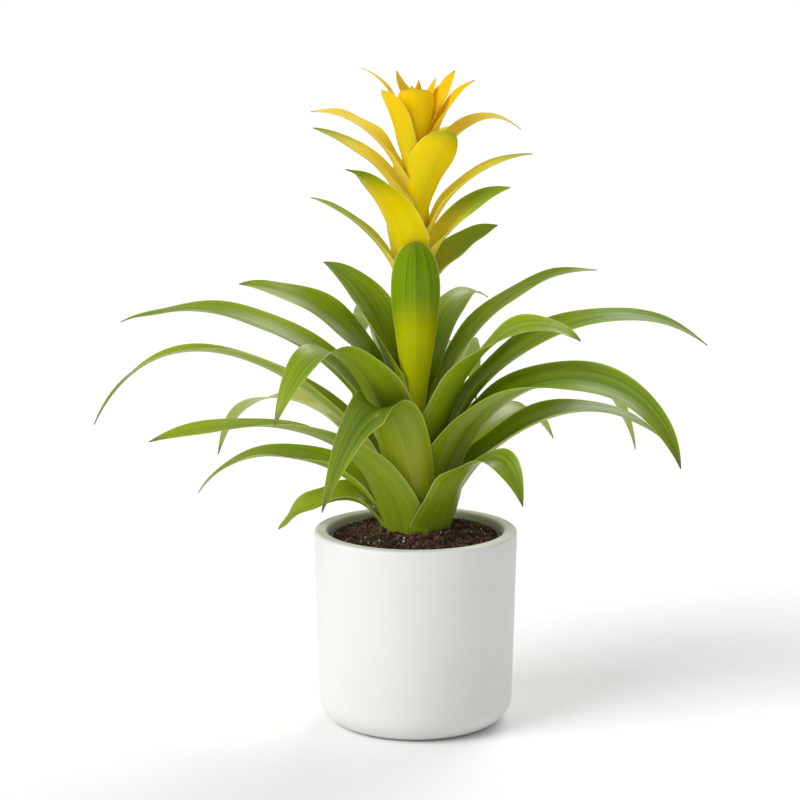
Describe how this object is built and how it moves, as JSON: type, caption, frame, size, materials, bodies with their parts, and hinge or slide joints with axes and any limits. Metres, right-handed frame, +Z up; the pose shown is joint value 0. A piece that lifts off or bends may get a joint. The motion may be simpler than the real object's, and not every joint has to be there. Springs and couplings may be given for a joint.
{
  "type": "potted bromeliad",
  "caption": "Potted bromeliad with arching strap leaves and an upright spike of yellow bracts, standing in a plain white cylinder pot.",
  "frame": {"origin": "centre of the flat underside of the pot", "axes": "+Z up the plant and its pot; -Y is the front, +X is to the right seen from the front"},
  "size_m": [0.452, 0.3119, 0.4821],
  "materials": {
    "pot": "matt off-white glaze",
    "liner": "thin black plastic",
    "soil": "loose dark fibrous potting mix",
    "stem": "satin living plant tissue",
    "leaf": "glossy satin living leaf",
    "bract": "satin living bract"
  },
  "bodies": {
    "root": {"pot": "pot", "nursery_pot": "liner", "soil": "soil", "stem": "stem", "leaf_01": "leaf", "leaf_02": "leaf", "leaf_03": "leaf", "leaf_04": "leaf", "leaf_05": "leaf", "leaf_06": "leaf", "leaf_07": "leaf", "leaf_08": "leaf", "leaf_09": "leaf", "leaf_10": "leaf", "leaf_11": "leaf", "leaf_12": "leaf", "leaf_13": "leaf", "leaf_14": "leaf", "leaf_15": "leaf", "leaf_16": "leaf", "leaf_17": "leaf", "leaf_18": "leaf", "leaf_19": "leaf", "leaf_20": "leaf", "leaf_21": "leaf", "leaf_22": "leaf", "leaf_23": "leaf", "leaf_24": "leaf", "bract_01": "bract", "bract_02": "bract", "bract_03": "bract", "bract_04": "bract", "bract_05": "bract", "bract_06": "bract", "bract_07": "bract", "bract_08": "bract", "bract_09": "bract", "bract_10": "bract", "bract_11": "bract", "bract_12": "bract", "bract_13": "bract", "bract_14": "bract", "bract_15": "bract", "bract_16": "bract", "bract_17": "bract", "bract_18": "bract", "bract_19": "bract", "bract_20": "bract", "bract_21": "bract", "bract_22": "bract", "bract_23": "bract", "bract_24": "bract"}
  },
  "joints": []
}
